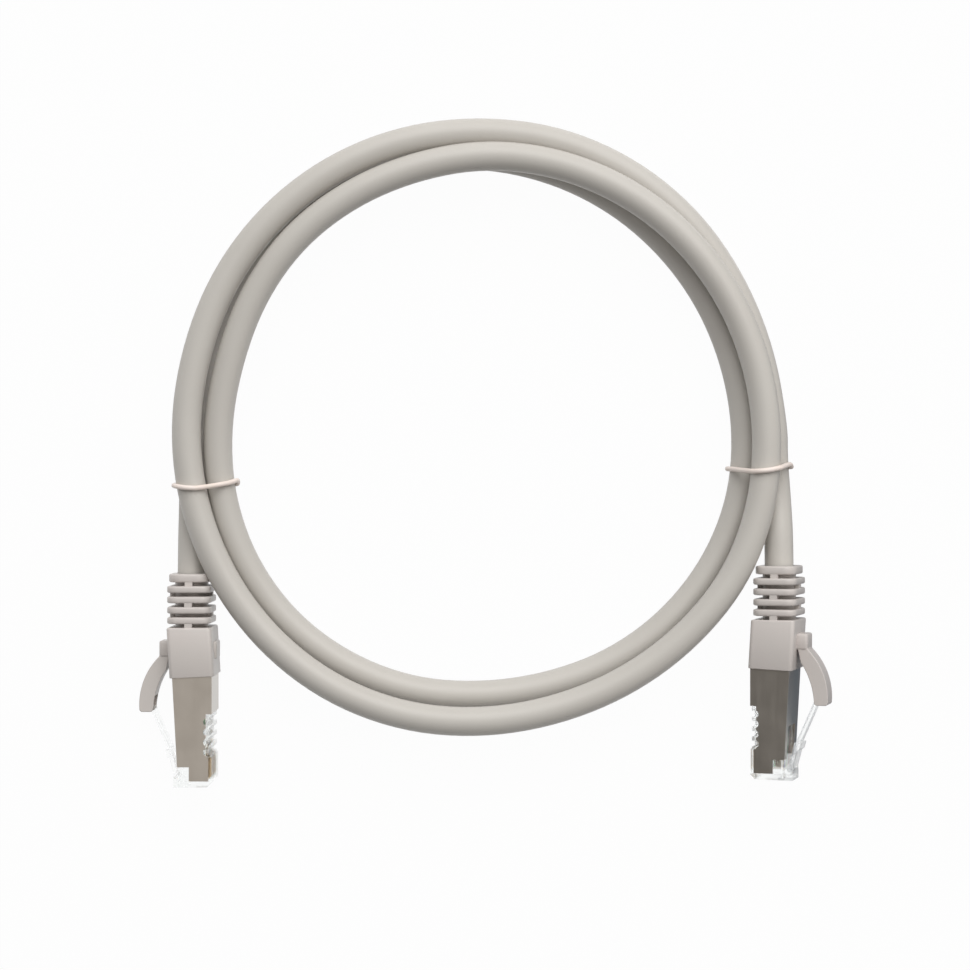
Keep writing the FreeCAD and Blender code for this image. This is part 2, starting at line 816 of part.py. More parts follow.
def build_nodes():
    nodes = {}
    for letter, plug in (("a", plug_a), ("b", plug_b)):
        local = {"housing": make_housing(), "latch": make_latch(), "shield": make_shield(),
                 "wire_guide": make_wire_guide(), "boot": make_boot(), "boot_lever": make_lever()}
        for number in range(1, wire_count + 1):
            local["contact_%d" % number] = make_contact(number)
        for name, shape in local.items():
            nodes["plug_%s_%s" % (letter, name)] = plug.put(shape)
    for letter, plug, turns in (("a", plug_a, 0.0), ("b", plug_b, coil_turns)):
        edges, radii = tail_edges(plug, level(turns))
        solid = sleeve(edges, cord_radius, cord_radius - jacket_wall)
        nodes["cable_tail_%s" % letter] = solid
        length = Part.Wire(edges).Length
        section = math.pi * (cord_radius ** 2 - (cord_radius - jacket_wall) ** 2)
        print("tail", letter, "length", round(length, 2), "radii", [round(r, 1) for r in radii],
              "volume share", round(solid.Volume / (section * length), 4))
    nodes["cable_coil"] = coil_with_ends(cord_radius, cord_radius - jacket_wall)
    nodes["foil_screen"] = make_screen()
    nodes["drain_wire"] = make_drain_wire()
    for number in range(1, wire_count + 1):
        nodes["wire_%d" % number] = make_wire(number)
    nodes["tie_left"] = make_tie(left_tie_y, -1)
    nodes["tie_right"] = make_tie(right_tie_y, 1)
    return nodes


def least_self_gap():
    """The coil's least gap to itself, between points at least half a turn apart along it."""
    per_turn = 240
    wire = Part.Wire(coil_edges())
    points = wire.discretize(Number=int(coil_turns * per_turn) + 1)
    least = None
    for index, point in enumerate(points):
        for other in points[index + per_turn // 2:]:
            distance = (point - other).Length
            if least is None or distance < least:
                least = distance
    return least - cord_diameter, wire.Length


def centre_shift(nodes):
    """The move that centres the lead's box on the origin and stands it on Z = 0."""
    boxes = [shape.optimalBoundingBox(False, False) for shape in nodes.values()]
    low = Vector(min(b.XMin for b in boxes), min(b.YMin for b in boxes), min(b.ZMin for b in boxes))
    high = Vector(max(b.XMax for b in boxes), max(b.YMax for b in boxes), max(b.ZMax for b in boxes))
    print("size", [round(v, 2) for v in (high - low)])
    return Vector(-(low.x + high.x) / 2, -(low.y + high.y) / 2, -low.z)


all_nodes = build_nodes()
shift = centre_shift(all_nodes)
for node_name, node_shape in all_nodes.items():
    node_shape.translate(shift)
    node_shape.exportStep("parts/%s.step" % node_name)

self_gap, coil_length = least_self_gap()
print("coil centre", [round(v, 3) for v in shift])
print("coil length", round(coil_length, 1), "least gap to itself", round(self_gap, 2))
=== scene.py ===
import bpy
import bmesh
import json
import math
from mathutils import Matrix, Vector


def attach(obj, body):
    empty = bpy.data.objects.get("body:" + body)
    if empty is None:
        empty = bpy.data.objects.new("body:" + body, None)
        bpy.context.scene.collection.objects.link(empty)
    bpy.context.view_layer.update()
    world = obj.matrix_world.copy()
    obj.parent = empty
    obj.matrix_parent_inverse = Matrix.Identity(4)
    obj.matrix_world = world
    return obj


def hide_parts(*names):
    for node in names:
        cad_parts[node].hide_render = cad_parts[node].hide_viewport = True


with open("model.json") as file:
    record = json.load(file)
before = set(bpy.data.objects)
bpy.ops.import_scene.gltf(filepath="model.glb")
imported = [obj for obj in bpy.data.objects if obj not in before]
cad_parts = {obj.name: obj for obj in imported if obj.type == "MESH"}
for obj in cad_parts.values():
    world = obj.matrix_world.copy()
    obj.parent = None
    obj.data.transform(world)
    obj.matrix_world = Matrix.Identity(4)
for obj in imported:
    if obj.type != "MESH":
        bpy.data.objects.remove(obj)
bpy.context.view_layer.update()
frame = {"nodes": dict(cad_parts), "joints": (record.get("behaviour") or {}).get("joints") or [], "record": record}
record = frame["record"]
mm = 0.001
print("frame loaded:", len(frame["nodes"]), "nodes")


# Where things are: the coil's centre and the two plugs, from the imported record

def mountNamed(name):
    return next(mount for mount in record["mounts"] if mount["name"] == name)


def jointNamed(name):
    return next(joint for joint in frame["joints"] if joint["name"] == name)


coilCentre = Vector(mountNamed("coil_hang")["pos_m"])


class PlugFrame:  # +x to the nose, +z to the latch, origin on the cable's axis at the nose, in mm
    noseCentreDrop = 1.35  # the nose's middle lies this far under the cable's axis

    def __init__(self, letter):
        self.letter = letter
        nose = mountNamed("plug_%s_nose" % letter)
        self.forward = Vector(nose["axis"])
        self.side = Vector(jointNamed("lever_%s_press" % letter)["axis"])
        self.latch = self.forward.cross(self.side)
        self.origin = Vector(nose["pos_m"]) + self.latch * self.noseCentreDrop * mm

    def matrix(self):
        turn = Matrix((self.forward, self.side, self.latch)).transposed().to_4x4()
        return Matrix.Translation(self.origin) @ turn @ Matrix.Scale(mm, 4)

    def point(self, x, y, z):
        return self.matrix() @ Vector((x, y, z))


plugA = PlugFrame("a")
plugB = PlugFrame("b")


# Node trees: one socket wrapped, so that sums are plain expressions

class Flow:
    def __init__(self, tree, socket=None):
        self.tree = tree
        self.socket = socket

    def make(self, kind, inputs=None, out=0, **settings):  # any node: its settings, then its sockets
        node = self.tree.nodes.new(kind)
        for name, value in settings.items():
            setattr(node, name, value)
        for name, value in (inputs or {}).items():
            if isinstance(value, Flow):
                self.tree.links.new(value.socket, node.inputs[name])
            else:
                node.inputs[name].default_value = value
        return Flow(self.tree, node.outputs[out])

    def output(self, name):  # another output of the same node
        return Flow(self.tree, self.socket.node.outputs[name])

    def sum(self, operation, first, second):
        return self.make("ShaderNodeMath", {0: first, 1: second}, operation=operation)

    def __add__(self, other):
        return self.sum("ADD", self, other)

    def __radd__(self, other):
        return self.sum("ADD", other, self)

    def __sub__(self, other):
        return self.sum("SUBTRACT", self, other)

    def __rsub__(self, other):
        return self.sum("SUBTRACT", other, self)

    def __mul__(self, other):
        return self.sum("MULTIPLY", self, other)

    def __rmul__(self, other):
        return self.sum("MULTIPLY", other, self)

    def clamped(self):
        return self.make("ShaderNodeMath", {0: self, 1: 0.0}, operation="ADD", use_clamp=True)


def linear(red, green, blue):  # a colour given as 0-255 display values
    def channel(value):
        share = value / 255
        return share / 12.92 if share <= 0.04045 else ((share + 0.055) / 1.055) ** 2.4
    return (channel(red), channel(green), channel(blue), 1.0)


def newMaterial(name, **constants):
    material = bpy.data.materials.new(name)
    material.use_nodes = True
    tree = material.node_tree
    shader = tree.nodes["Principled BSDF"]
    for socket, value in constants.items():
        shader.inputs[socket.replace("_", " ")].default_value = value
    return material, Flow(tree), shader


def feed(flow, shader, **links):
    for socket, value in links.items():
        flow.tree.links.new(value.socket, shader.inputs[socket.replace("_", " ")])


def objectPlace(flow, scale=(1, 1, 1)):
    place = flow.make("ShaderNodeTexCoord", out="Object")
    return flow.make("ShaderNodeMapping", {"Vector": place, "Scale": scale})


def noise(flow, place, scale, detail=2.0, rough=0.5):
    return flow.make("ShaderNodeTexNoise", {"Vector": place, "Scale": scale, "Detail": detail,
                                            "Roughness": rough})


def blendColour(flow, factor, first, second):
    sockets = {0: factor, 6: first, 7: second}  # a colour blend's factor and its two colours
    return flow.make("ShaderNodeMix", sockets, out=2, data_type="RGBA")


def bump(flow, height, strength, distance):
    return flow.make("ShaderNodeBump", {"Height": height, "Strength": strength, "Distance": distance})


# Finishes: lengths here are in metres

vinyl = {"specular": 0.4, "coatRoughness": 0.3, "mottleDetail": 3.0, "mottleShare": 0.8,
         "fineDetail": 2.0, "fineRough": 0.6, "fineShare": 0.2, "grainDepth": 0.00004}
clear = {"rippleScale": 260.0, "rippleSpread": 0.04, "rippleLift": 0.15, "rippleDepth": 0.0001}
plating = {"brushScale": 900.0, "brushDetail": 4.0, "brushRough": 0.65, "brushSpread": 0.12,
           "brushLift": 0.12, "brushDepth": 0.00002,
           "cloudScale": 180.0, "cloudDetail": 3.0, "cloudSpread": 0.1}


def softVinyl(name, pale, deep, mottleScale, grainScale, grain, roughness, spread, coat=0.0):
    material, flow, shader = newMaterial(name, Specular_IOR_Level=vinyl["specular"], Coat_Weight=coat,
                                         Coat_Roughness=vinyl["coatRoughness"])
    place = objectPlace(flow)
    mottle = noise(flow, place, mottleScale, vinyl["mottleDetail"])
    fine = noise(flow, place, grainScale, vinyl["fineDetail"], vinyl["fineRough"])
    patches = (mottle * vinyl["mottleShare"] + fine * vinyl["fineShare"]).clamped()
    feed(flow, shader, Base_Color=blendColour(flow, patches, linear(*deep), linear(*pale)),
         Roughness=roughness + (mottle - 0.5) * spread,
         Normal=bump(flow, fine, grain, vinyl["grainDepth"]))
    return material


def clearPlastic(name, tint, roughness, bend=1.5, body=1.0):  # bend is its IOR, body its alpha
    material, flow, shader = newMaterial(name, Transmission_Weight=1.0, IOR=bend,
                                         Base_Color=linear(*tint), Alpha=body)
    ripple = noise(flow, objectPlace(flow), clear["rippleScale"])
    feed(flow, shader, Roughness=roughness + ripple * clear["rippleSpread"],
         Normal=bump(flow, ripple, clear["rippleLift"], clear["rippleDepth"]))
    return material


def platedMetal(name, pale, deep, roughness, streak):
    material, flow, shader = newMaterial(name, Metallic=1.0)
    brushed = noise(flow, objectPlace(flow, streak), plating["brushScale"], plating["brushDetail"],
                    plating["brushRough"])
    cloud = noise(flow, objectPlace(flow), plating["cloudScale"], plating["cloudDetail"])
    rough = roughness + brushed * plating["brushSpread"] + (cloud - 0.5) * plating["cloudSpread"]
    feed(flow, shader, Base_Color=blendColour(flow, cloud, linear(*deep), linear(*pale)), Roughness=rough,
         Normal=bump(flow, brushed, plating["brushLift"], plating["brushDepth"]))
    return material


jacketVinyl = softVinyl("jacketVinyl", (200, 196, 189), (191, 186, 179), mottleScale=60.0,
                        grainScale=2600.0, grain=0.25, roughness=0.42, spread=0.12, coat=0.08)
bootVinyl = softVinyl("bootVinyl", (204, 194, 190), (197, 193, 187), mottleScale=70.0,
                      grainScale=3200.0, grain=0.35, roughness=0.42, spread=0.1, coat=0.35)
clearPart = clearPlastic("clearPolycarbonate", (246, 249, 248), 0.03, bend=1.4, body=0.65)
clearTongue = clearPlastic("clearTongue", (248, 250, 250), 0.03, bend=1.3, body=0.55)
guidePart = clearPlastic("guidePolycarbonate", (236, 240, 240), 0.12)
shieldMetal = platedMetal("shieldPlate", (208, 204, 198), (194, 190, 184), 0.3, streak=(1, 0.06, 1))
contactGold = platedMetal("contactGold", (232, 212, 184), (220, 194, 164), 0.24, streak=(1, 0.2, 1))
tieFilm = softVinyl("tieFilm", (245, 236, 232), (232, 214, 199), mottleScale=170.0,
                    grainScale=2200.0, grain=0.3, roughness=0.38, spread=0.1)

insulationTints = {
    1: (238, 196, 150), 2: (226, 120, 38), 3: (186, 222, 186), 4: (40, 84, 178),
    5: (182, 204, 238), 6: (36, 142, 70), 7: (206, 182, 160), 8: (112, 72, 44),
}
insulationShade = 0.92  # the deeper tint, as a share of the paler one
insulation = {}
for number, tint in insulationTints.items():
    deeper = tuple(round(channel * insulationShade) for channel in tint)
    insulation[number] = softVinyl("insulation%d" % number, tint, deeper, mottleScale=200.0,
                                   grainScale=3000.0, grain=0.2, roughness=0.35, spread=0.08)
print("finishes made:", len(bpy.data.materials))


# Making and placing pieces

mergeDistance = 1e-6
easing = {"nodeMerge": 2e-6, "flatAngle": 2, "smoothAngle": 30, "edgeAngle": 35, "flatWeight": 80}


def linked(name, data):
    piece = bpy.data.objects.new(name, data)
    bpy.context.scene.collection.objects.link(piece)
    return piece


def meshObject(name, mesh, material=None):
    if material:
        mesh.materials.clear()
        mesh.materials.append(material)
    return linked(name, mesh)


def finishedMesh(bm, name, smoothAngle=40):
    bmesh.ops.remove_doubles(bm, verts=bm.verts, dist=mergeDistance)
    bmesh.ops.recalc_face_normals(bm, faces=bm.faces)
    mesh = bpy.data.meshes.new(name)
    bm.to_mesh(mesh)
    bm.free()
    mesh.shade_smooth()
    mesh.set_sharp_from_angle(angle=math.radians(smoothAngle))
    return mesh


def evaluated(piece):  # the piece with its modifiers applied, as a plain mesh
    bpy.context.view_layer.update()
    graph = bpy.context.evaluated_depsgraph_get()
    return bpy.data.meshes.new_from_object(piece.evaluated_get(graph), depsgraph=graph)


def settle(piece, body, slot, *nodes):
    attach(piece, body)
    if nodes:
        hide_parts(*nodes)
    return piece


def softened(node, name, material, width, steps, body, slot):  # a CAD node with its edges eased
    bm = bmesh.new()
    bm.from_mesh(frame["nodes"][node].data)
    bmesh.ops.remove_doubles(bm, verts=bm.verts, dist=easing["nodeMerge"])
    bmesh.ops.dissolve_limit(bm, angle_limit=math.radians(easing["flatAngle"]), verts=bm.verts,
                             edges=bm.edges)
    piece = meshObject(name, finishedMesh(bm, name, easing["smoothAngle"]), material)
    ease = piece.modifiers.new("ease", "BEVEL")
    ease.width = width * mm
    ease.segments = steps
    ease.limit_method = "ANGLE"
    ease.angle_limit = math.radians(easing["edgeAngle"])
    ease.use_clamp_overlap = True
    flats = piece.modifiers.new("flats", "WEIGHTED_NORMAL")  # broad faces keep their own normal
    flats.mode = "FACE_AREA"
    flats.weight = easing["flatWeight"]
    flats.keep_sharp = True
    mesh = evaluated(piece)
    piece.modifiers.clear()
    piece.data = mesh
    return settle(piece, body, slot, node)


# Sections and blocks, lofted along x

cornerSteps = 6   # spans round one corner of a section
easeShare = 0.3   # where an eased edge has its middle station
cornerGive = 0.5  # how much of an inset its corner's radius takes up


def roundedRing(x, halfY, lowZ, highZ, radius, slant=0.0):  # a rounded rectangle that may lean along x
    ring = []
    corners = [(halfY, highZ, 0), (-halfY, highZ, 90), (-halfY, lowZ, 180), (halfY, lowZ, 270)]
    for y, z, first in corners:
        centreY = y - math.copysign(radius, y)
        centreZ = z - radius if z == highZ else z + radius
        for step in range(cornerSteps + 1):
            angle = math.radians(first + 90 * step / cornerSteps)
            place = Vector((x, centreY + radius * math.cos(angle), centreZ + radius * math.sin(angle)))
            place.x += slant * (place.z - lowZ)
            ring.append(place)
    return ring


def insetRing(x, halfY, lowZ, highZ, radius, inset, slant=0.0):
    return roundedRing(x, halfY - inset, lowZ + inset, highZ - inset, radius - inset * cornerGive, slant)


def roundRing(x, radius):  # a circle with as many points as a rounded rectangle
    ring = []
    for corner in range(4):
        for step in range(cornerSteps + 1):
            angle = math.radians(90 * corner + 90 * (step + 0.25) / (cornerSteps + 0.5))
            ring.append(Vector((x, radius * math.cos(angle), radius * math.sin(angle))))
    return ring


def easedIn(x, ease):  # stations over which an eased edge opens out from x, each with its inset
    return [(x, ease), (x + easeShare * ease, easeShare * ease), (x + ease, 0.0)]


def easedOut(x, ease):  # and over which it closes in towards x
    return [(x - ease, 0.0), (x - easeShare * ease, easeShare * ease), (x, ease)]


def skin(bm, rings, closed=False, capped=False):
    rows = [[bm.verts.new(place) for place in ring] for ring in rings]
    pairs = list(zip(rows, rows[1:])) + ([(rows[-1], rows[0])] if closed else [])
    for first, second in pairs:
        for index in range(len(first)):
            following = (index + 1) % len(first)
            bm.faces.new((first[index], first[following], second[following], second[index]))
    if capped:
        bm.faces.new(rows[0][::-1])
        bm.faces.new(rows[-1])


def pillow(bm, x0, x1, halfY, lowZ, highZ, corner, ease):  # a block with rounded corners and eased ends
    stations = easedIn(x0, ease) + easedOut(x1, ease)
    skin(bm, [insetRing(x, halfY, lowZ, highZ, corner, inset) for x, inset in stations], capped=True)


def box(bm, x0, x1, y0, y1, z0, z1):
    matrix = Matrix.Translation(((x0 + x1) / 2, (y0 + y1) / 2, (z0 + z1) / 2))
    matrix = matrix @ Matrix.Diagonal((x1 - x0, y1 - y0, z1 - z0, 1))
    bmesh.ops.create_cube(bm, size=1.0, matrix=matrix)


# Cable: one smooth line from plug to plug

cable = {
    "diameter": 5.8, "rings": 8, "turns": 2.5, "pointsPerTurn": 24, "outerLane": 58.8, "lowLevel": 3.55,
    # how far it goes in, out, up or down, and between which turns
    "driftIn": (5.64, 0.085, 0.345), "driftOut": (6.27, 1.09, 1.91), "flare": (0.25, 2.3, 2.5),
    "climb": (6.9, 0.71, 1.2), "dive": (5.9, 2.12, 2.46),
    # how high the hump is, at which turn and how wide
    "hump": (1.35, 1.17, 0.13),
    # how far the coil is from round, straight and slanting
    "oval": (0.22, 0.14),
    # small swings out and in: at which turn, how wide and how far
    "swings": [
        (0.40, 0.06, -0.9), (0.46, 0.03, -0.35), (0.562, 0.045, 1.15), (0.64, 0.05, 1.0),
        (0.80, 0.03, 0.35), (0.88, 0.10, 2.1), (1.04, 0.05, -0.9), (1.195, 0.035, -0.5),
        (1.56, 0.06, 0.8), (1.585, 0.04, 0.5), (1.72, 0.06, -0.8), (1.85, 0.08, 0.4),
        (2.04, 0.035, -0.38), (2.28, 0.08, -0.8), (2.30, 0.03, 0.35), (2.43, 0.06, -0.38),
        (2.45, 0.09, -1.6),
    ],
    "tailA": [(-58.8, -48.9, 6.25), (-58.8, -25.9, 6.25), (-58.8, -14.0, 3.55), (-58.8, -5.8, 3.55)],
    "tailB": [(58.85, -5.8, 4.55), (59.5, -14.0, 4.55), (59.75, -24.3, 7.37), (59.68, -47.3, 7.37)],
}
lineOrder = 3
lineSteps = 6  # spans of the line between two of its points


def smoothStep(value, start, end):
    share = min(max((value - start) / (end - start), 0.0), 1.0)
    return share * share * (3 - 2 * share)


def stepOf(name, turns):
    amount, start, end = cable[name]
    return amount * smoothStep(turns, start, end)


def swell(turns, middle, width):
    return math.exp(-((turns - middle) / width) ** 2)


def coilPoint(turns, widening):
    twiceRound = 4 * math.pi * turns
    straight, slanting = cable["oval"]
    radius = cable["outerLane"] - stepOf("driftIn", turns) + stepOf("driftOut", turns)
    radius += stepOf("flare", turns)
    radius += straight * (1 - math.cos(twiceRound)) - slanting * math.sin(twiceRound)
    for middle, width, amount in cable["swings"]:
        radius += amount * swell(turns, middle, width)
    radius *= widening
    rise, middle, width = cable["hump"]
    height = cable["lowLevel"] + stepOf("climb", turns) - stepOf("dive", turns)
    height += rise * swell(turns, middle, width)
    heading = math.pi - 2 * math.pi * turns
    return Vector((radius * math.cos(heading), radius * math.sin(heading), height))


def cableRoute():
    count = round(cable["turns"] * cable["pointsPerTurn"])
    widening = 1 / math.cos(math.pi / cable["pointsPerTurn"])  # the spline cuts inside its points
    coil = [coilPoint(index / cable["pointsPerTurn"], widening) for index in range(count + 1)]
    tailA, tailB = [[Vector(place) for place in cable[name]] for name in ("tailA", "tailB")]
    return [coilCentre + place * mm for place in tailA + coil + tailB]


def smoothLine(name, points, radius, rings, cyclic=False):
    curve = bpy.data.curves.new(name, "CURVE")
    curve.dimensions = "3D"
    spline = curve.splines.new("NURBS")
    spline.points.add(len(points) - 1)
    for target, place in zip(spline.points, points):
        target.co = (*place, 1.0)
    spline.order_u = lineOrder
    spline.use_endpoint_u = not cyclic
    spline.use_cyclic_u = cyclic
    spline.resolution_u = lineSteps
    curve.resolution_u = lineSteps
    curve.bevel_depth = radius
    curve.bevel_resolution = rings
    curve.use_fill_caps = not cyclic
    return linked(name, curve)


def lineLength(points):  # the smooth line's length, and the places along it
    bare = smoothLine("measure", points, 0.0, 0)
    mesh = evaluated(bare)
    places = [vertex.co.copy() for vertex in mesh.vertices]
    bpy.data.objects.remove(bare)
    bpy.data.meshes.remove(mesh)
    return sum((b - a).length for a, b in zip(places, places[1:])), places


def makeCable(route):
    piece = smoothLine("cable", route, cable["diameter"] / 2 * mm, cable["rings"])
    piece.data.materials.append(jacketVinyl)
    return settle(piece, "root", "jacket", "cable_coil", "cable_tail_a", "cable_tail_b",
                  "foil_screen", "drain_wire")


cableRoutePoints = cableRoute()
cableLength, cableLine = lineLength(cableRoutePoints)
cablePiece = makeCable(cableRoutePoints)
print("cable length", round(cableLength, 4))


# Ties: thin closed bands round the strands

ties = {
    "thickness": 1.0, "gap": 0.05, "steps": 24, "rings": 4,
    "underShare": 0.3,  # how much of its bend a band has underneath
    "left": {"y": -11.5, "side": -1, "bend": (0.6, -1.2, 0.2)},  # the bend is its lift, sag and lean
    "right": {"y": -8.1, "side": 1, "bend": (0.5, -1.0, 0.8)},
}


def strandCentres(y, side):
    places = []
    for first, second in zip(cableLine, cableLine[1:]):
        low, high = first.y - coilCentre.y - y * mm, second.y - coilCentre.y - y * mm
        if low * high <= 0 and low != high and (first.x - coilCentre.x) * side > 0:
            places.append(first.lerp(second, low / (low - high)))
    return places


def turnsLeft(first, second, third):
    ahead = (second[0] - first[0]) * (third[1] - first[1])
    return ahead - (second[1] - first[1]) * (third[0] - first[0]) > 0


def convexOutline(points):  # a string pulled tight round the points
    points = sorted(set(points))

    def half(run):
        chain = []
        for point in run:
            while len(chain) > 1 and not turnsLeft(chain[-2], chain[-1], point):
                chain.pop()
            chain.append(point)
        return chain[:-1]

    return half(points) + half(points[::-1])


def makeTie(name, spec, node):
    half = ties["thickness"] * mm / 2
    radius = (cable["diameter"] / 2 + ties["gap"]) * mm + half
    centres = strandCentres(spec["y"], spec["side"])
    middle = sum(centres, Vector()) / len(centres)
    circles = []
    for centre in centres:
        for step in range(ties["steps"]):
            angle = 2 * math.pi * step / ties["steps"]
            circles.append((centre.x + radius * math.cos(angle), centre.z + radius * math.sin(angle)))
    lift, sag, lean = spec["bend"]
    route = []
    for x, z in convexOutline(circles):
        share = (x - middle.x) / (radius * 2)
        bend = lift + sag * (1 - share * share) + lean * share
        shown = 1.0 if z > middle.z else ties["underShare"]
        route.append(Vector((x, coilCentre.y + (spec["y"] + bend * shown) * mm, max(z, half))))
    piece = smoothLine(name, route, half, ties["rings"], cyclic=True)
    piece.data.materials.append(tieFilm)
    return settle(piece, "root", "tie", node)


tieLeft = makeTie("tieLeft", ties["left"], "tie_left")
tieRight = makeTie("tieRight", ties["right"], "tie_right")
print("ties made")


# Boots: body, ribs, webs, lever mount and grip pad, behind the nose along -x

plugShape = {"width": 11.68, "contactSide": 4.7, "noseHeight": 6.7, "rearHeight": 7.95, "length": 22.6}
lever = {"hinge": (-25.9, 5.25), "barrel": 1.0, "width": 5.0, "mountPlay": 0.2}
boot = {
    "front": 22.1, "length": 9.7, "halfWidth": 6.25, "rearTop": 4.35, "rearBottom": 4.6,
    "frontTop": 3.75, "frontBottom": 5.15, "corner": 0.8, "slant": 0.4, "rearEdge": 0.3, "frontEdge": 0.15,
    "bore": 3.0, "core": 3.35, "coreOverlap": 0.3, "barrelRoom": 3.4, "barrelRear": 27.7,
    "pocketGap": 0.06, "pocketCorner": 0.3, "pocketDepth": 0.1,
    "ribs": 5, "ribThickness": 1.32, "ribGap": 0.75, "ribHalfHeight": 4.4, "ribHalfWidth": 6.1,
    "ribCorner": 2.0, "ribEase": 0.28, "ribSink": 0.05,
    "collarThickness": 1.65, "collarHalfHeight": 4.2, "collarHalfWidth": 5.3, "collarCorner": 2.6,
    "web": 1.5, "webSink": 0.1,
    "padRear": 28.9, "padFront": 25.4, "padHalfWidth": 3.0, "padRise": 0.25, "padSink": 1.5,
    "padCorner": 0.6, "padEase": 0.3,
    "mountLength": 3.1, "mountReach": 0.1, "mountSink": 1.0, "mountCorner": 0.6, "mountEase": 0.35,
    "smoothAngle": 50,
}
bootRear = -boot["front"] - boot["length"]
ribPitch = boot["ribGap"] + boot["ribThickness"]
lastRib = bootRear - (boot["ribs"] - 1) * ribPitch


def plugTop(x):
    slope = (plugShape["rearHeight"] - plugShape["noseHeight"]) / plugShape["length"]
    return plugShape["noseHeight"] - plugShape["contactSide"] - x * slope


def stackTree(material):  # copies of what comes in, one pitch apart along x
    tree = bpy.data.node_groups.new("ribStack", "GeometryNodeTree")
    inputs = {"Geometry": "NodeSocketGeometry", "Count": "NodeSocketInt", "Pitch": "NodeSocketFloat"}
    for name, kind in inputs.items():
        tree.interface.new_socket(name, in_out="INPUT", socket_type=kind)
    tree.interface.new_socket("Geometry", in_out="OUTPUT", socket_type="NodeSocketGeometry")
    flow = Flow(tree)
    entry = flow.make("NodeGroupInput")
    offset = flow.make("ShaderNodeCombineXYZ", {"X": entry.output("Pitch")})
    places = flow.make("GeometryNodeMeshLine", {"Count": entry.output("Count"), "Offset": offset})
    copies = flow.make("GeometryNodeInstanceOnPoints", {"Points": places,
                                                        "Instance": entry.output("Geometry")})
    solid = flow.make("GeometryNodeRealizeInstances", {"Geometry": copies})
    painted = flow.make("GeometryNodeSetMaterial", {"Geometry": solid, "Material": material})
    leave = tree.nodes.new("NodeGroupOutput")
    tree.links.new(painted.socket, leave.inputs["Geometry"])
    return tree


def stacked(piece, tree, **values):
    modifier = piece.modifiers.new("stack", "NODES")
    modifier.node_group = tree
    for item in tree.interface.items_tree:
        if item.in_out == "INPUT" and item.name in values:
            modifier[item.identifier] = values[item.name]
    mesh = evaluated(piece)
    bpy.data.objects.remove(piece)
    return mesh


ribTree = stackTree(bootVinyl)


def ribMesh(name, halfY, halfZ, corner, thickness, bore):
    stations = easedIn(0.0, boot["ribEase"]) + easedOut(thickness, boot["ribEase"])
    rings = [insetRing(x, halfY, -halfZ, halfZ, corner, inset) for x, inset in stations]
    bm = bmesh.new()
    skin(bm, [roundRing(0.0, bore)] + rings + [roundRing(thickness, bore)], closed=True)
    return finishedMesh(bm, name)


def bootBody(bm):
    front = -boot["front"]
    slant = boot["slant"] / (boot["frontTop"] + boot["frontBottom"])
    rings = [roundRing(bootRear, boot["bore"])]
    for x, inset in easedIn(bootRear, boot["rearEdge"]):
        rings.append(insetRing(x, boot["halfWidth"], -boot["rearBottom"], boot["rearTop"],
                               boot["corner"], inset))
    for x, inset in easedOut(front, boot["frontEdge"]):
        rings.append(insetRing(x, boot["halfWidth"], -boot["frontBottom"], boot["frontTop"],
                               boot["corner"], inset, slant))
    pocketY = plugShape["width"] / 2 + boot["pocketGap"]
    pocketLow = -plugShape["contactSide"] - boot["pocketGap"]
    pocketHigh = plugTop(front) + boot["pocketGap"]
    depth = -plugShape["length"] - boot["pocketDepth"]
    for x, lean in ((front, slant), (depth, 0.0)):
        rings.append(roundedRing(x, pocketY, pocketLow, pocketHigh, boot["pocketCorner"], lean))
    for x, radius in ((depth, boot["barrelRoom"]), (-boot["barrelRear"], boot["barrelRoom"]),
                      (-boot["barrelRear"], boot["bore"])):
        rings.append(roundRing(x, radius))
    skin(bm, rings, closed=True)


def bootWebs(bm):  # the core between the ribs, and webs that cross each gap in turn
    overlap = boot["coreOverlap"]
    coreRear = bootRear - boot["ribs"] * ribPitch - overlap
    coreFront = bootRear + overlap
    skin(bm, [roundRing(coreRear, boot["bore"]), roundRing(coreRear, boot["core"]),
              roundRing(coreFront, boot["core"]), roundRing(coreFront, boot["bore"])], closed=True)
    half = boot["web"] / 2
    inner = boot["core"] - boot["webSink"]
    halfZ = boot["ribHalfHeight"] - boot["webSink"]
    for index in range(boot["ribs"]):
        high = bootRear - index * ribPitch + overlap
        low = high - boot["ribGap"] - 2 * overlap
        last = index == boot["ribs"] - 1
        halfY = boot["collarHalfWidth" if last else "ribHalfWidth"] - boot["webSink"]
        for side in (-1, 1):
            if index % 2 == 0:
                ends = sorted((side * halfY, side * inner))
                box(bm, low, high, ends[0], ends[1], -half, half)
            else:
                ends = sorted((side * halfZ, side * inner))
                box(bm, low, high, -half, half, ends[0], ends[1])


def bootBlocks(bm):  # the lever's mount, and the grip pad on the contact side
    hingeX, hingeZ = lever["hinge"]
    pillow(bm, hingeX - boot["mountLength"], hingeX + boot["mountReach"],
           lever["width"] / 2 + lever["mountPlay"], boot["frontTop"] - boot["mountSink"],
           hingeZ + lever["barrel"], boot["mountCorner"], boot["mountEase"])
    pillow(bm, -boot["padRear"], -boot["padFront"], boot["padHalfWidth"],
           -boot["frontBottom"] - boot["padRise"], -boot["frontBottom"] + boot["padSink"],
           boot["padCorner"], boot["padEase"])


